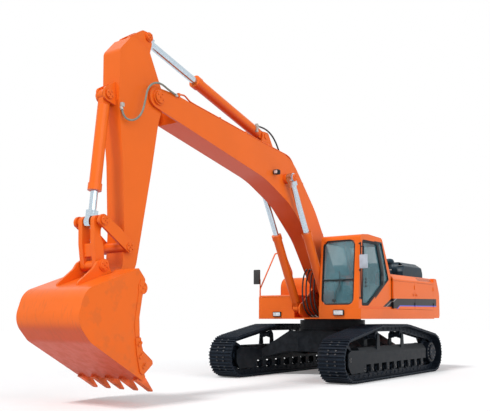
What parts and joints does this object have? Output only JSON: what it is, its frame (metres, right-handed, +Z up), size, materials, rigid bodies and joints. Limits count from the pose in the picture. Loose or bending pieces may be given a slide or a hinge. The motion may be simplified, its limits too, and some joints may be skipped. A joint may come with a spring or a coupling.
{
  "type": "crawler excavator",
  "caption": "Crawler excavator with a swinging upper structure, cab, boom, arm and linked bucket worked by cylinders, on two tracks.",
  "frame": {"origin": "on the ground, under the middle of the machine with its boom as in the picture", "axes": "+X forward along the boom, +Y to the left (the cab side), +Z up"},
  "size_m": [11.7404, 3.35, 6.1118],
  "materials": {
    "orange_paint": "gloss orange enamel",
    "orange_cast": "gloss orange enamel on a casting",
    "black_paint": "satin black",
    "dark_steel": "worn dark steel",
    "cast_metal": "dull casting",
    "chromed_rod": "polished",
    "tinted_glass": "lightly tinted",
    "seat_cover": "woven cloth",
    "cab_trim": "moulded"
  },
  "bodies": {
    "undercarriage": {"carbody": "black_paint", "track_left": "dark_steel", "track_right": "dark_steel", "track_frame_left": "black_paint", "track_frame_right": "black_paint", "idler_left": "dark_steel", "idler_right": "dark_steel", "sprocket_left": "dark_steel", "sprocket_right": "dark_steel", "travel_motor_left": "dark_steel", "travel_motor_right": "dark_steel", "track_rollers_left": "dark_steel", "track_rollers_right": "dark_steel", "slewing_ring_outer": "black_paint"},
    "boom": {"boom": "orange_paint"},
    "boom_cylinder_tubes": {"boom_cylinder_tubes": "orange_paint"},
    "boom_cylinder_rods": {"boom_cylinder_rods": "chromed_rod"},
    "arm": {"arm": "orange_paint"},
    "arm_cylinder_tube": {"arm_cylinder_tube": "orange_paint"},
    "arm_cylinder_rod": {"arm_cylinder_rod": "chromed_rod"},
    "bucket_cylinder_tube": {"bucket_cylinder_tube": "orange_paint"},
    "bucket_cylinder_rod": {"bucket_cylinder_rod": "chromed_rod"},
    "guide_links": {"guide_links": "black_paint"},
    "bucket_link": {"bucket_link": "black_paint"},
    "bucket": {"bucket": "orange_paint", "bucket_teeth": "cast_metal"},
    "cab_door": {"cab_door": "orange_paint", "cab_door_glass": "tinted_glass"},
    "engine_hood": {"engine_hood": "black_paint"},
    "left_front_door": {"left_front_door": "orange_paint"},
    "left_rear_door": {"left_rear_door": "orange_paint"},
    "right_side_door": {"right_side_door": "orange_paint"},
    "tool_box_lid": {"tool_box_lid": "orange_paint"},
    "upperstructure": {"cab_floor": "orange_paint", "cab_front_frame": "orange_paint", "cab_left_side": "orange_paint", "cab_rear_wall": "orange_paint", "cab_right_side": "orange_paint", "cab_roof": "orange_paint", "cab_windows": "tinted_glass", "consoles": "cab_trim", "counterweight": "orange_cast", "engine_block": "cast_metal", "fuel_tank": "orange_paint", "hydraulic_tank": "orange_paint", "machine_room_frame": "orange_paint", "operator_seat": "seat_cover", "slewing_ring_inner": "black_paint", "swing_motor": "black_paint", "tool_box": "orange_paint", "upper_frame": "orange_paint"}
  },
  "joints": [
    {"name": "swing", "type": "hinge", "parent": "undercarriage", "child": "upperstructure", "pos_m": [-2.42031, 0, 1.28], "axis": [0, 0, 1], "continuous": true},
    {"name": "boom_lift", "type": "hinge", "parent": "upperstructure", "child": "boom", "pos_m": [-2.15031, 0, 2.05], "axis": [0, -1, 0], "range_deg": [-67, 33]},
    {"name": "boom_tubes_pivot", "type": "hinge", "parent": "upperstructure", "child": "boom_cylinder_tubes", "pos_m": [-1.49031, 0, 1.53], "axis": [0, -1, 0], "range_deg": [-69.42, 34.2]},
    {"name": "boom_rods_stroke", "type": "slide", "parent": "boom_cylinder_tubes", "child": "boom_cylinder_rods", "axis": [0.4795, 0, 0.8775], "range_m": [-0.8412, 0.4148]},
    {"name": "arm_crowd", "type": "hinge", "parent": "boom", "child": "arm", "pos_m": [3.87969, 0, 4.97], "axis": [0, 1, 0], "range_deg": [-60, 43]},
    {"name": "arm_tube_pivot", "type": "hinge", "parent": "boom", "child": "arm_cylinder_tube", "pos_m": [0.50969, 0, 5.04], "axis": [0, 1, 0], "range_deg": [-4.04, 2.9]},
    {"name": "arm_rod_stroke", "type": "slide", "parent": "arm_cylinder_tube", "child": "arm_cylinder_rod", "axis": [0.9642, 0, 0.2652], "range_m": [-0.9672, 0.6935]},
    {"name": "bucket_curl", "type": "hinge", "parent": "arm", "child": "bucket", "pos_m": [4.64969, 0, 1.75], "axis": [0, 1, 0], "range_deg": [-32, 130]},
    {"name": "bucket_tube_pivot", "type": "hinge", "parent": "arm", "child": "bucket_cylinder_tube", "pos_m": [4.84969, 0, 4.8], "axis": [0, 1, 0], "range_deg": [-0.64, 2.56]},
    {"name": "bucket_rod_stroke", "type": "slide", "parent": "bucket_cylinder_tube", "child": "bucket_cylinder_rod", "axis": [0.112, 0, -0.9937], "range_m": [-0.2147, 0.8691]},
    {"name": "guide_links_pivot", "type": "hinge", "parent": "arm", "child": "guide_links", "pos_m": [4.52969, 0, 2.4], "axis": [0, 1, 0], "range_deg": [-21.39, 86.85]},
    {"name": "bucket_link_pivot", "type": "hinge", "parent": "bucket", "child": "bucket_link", "pos_m": [5.02969, 0, 2.09], "axis": [0, 1, 0], "range_deg": [-117.01, 28.81]},
    {"name": "cab_door_hinge", "type": "hinge", "parent": "upperstructure", "child": "cab_door", "pos_m": [-2.08781, 1.454, 2.17], "axis": [0, 0, 1], "range_deg": [0, 160]},
    {"name": "engine_hood_hinge", "type": "hinge", "parent": "upperstructure", "child": "engine_hood", "pos_m": [-5.32431, 0, 2.3025], "axis": [0, -1, 0], "range_deg": [0, 70]},
    {"name": "left_front_door_hinge", "type": "hinge", "parent": "upperstructure", "child": "left_front_door", "pos_m": [-3.78781, 1.499, 1.825], "axis": [0, 0, 1], "range_deg": [0, 100]},
    {"name": "left_rear_door_hinge", "type": "hinge", "parent": "upperstructure", "child": "left_rear_door", "pos_m": [-4.97781, 1.499, 1.825], "axis": [0, 0, 1], "range_deg": [0, 100]},
    {"name": "right_side_door_hinge", "type": "hinge", "parent": "upperstructure", "child": "right_side_door", "pos_m": [-4.97781, -1.499, 1.825], "axis": [0, 0, -1], "range_deg": [0, 100]},
    {"name": "tool_box_lid_hinge", "type": "hinge", "parent": "upperstructure", "child": "tool_box_lid", "pos_m": [-2.37131, -1.03, 1.841], "axis": [0, -1, 0], "range_deg": [0, 80]}
  ],
  "couplings": [
    {"joint": "boom_tubes_pivot", "follows": "boom_lift", "ratio": 1.036},
    {"joint": "boom_rods_stroke", "follows": "boom_lift", "m_per_rad": 0.7185},
    {"joint": "arm_tube_pivot", "follows": "arm_crowd", "ratio": 0.0672},
    {"joint": "arm_rod_stroke", "follows": "arm_crowd", "m_per_rad": 0.9227},
    {"joint": "bucket_tube_pivot", "follows": "bucket_curl", "ratio": 0.0196},
    {"joint": "bucket_rod_stroke", "follows": "bucket_curl", "m_per_rad": 0.3826},
    {"joint": "guide_links_pivot", "follows": "bucket_curl", "ratio": 0.668},
    {"joint": "bucket_link_pivot", "follows": "bucket_curl", "ratio": -0.9}
  ]
}
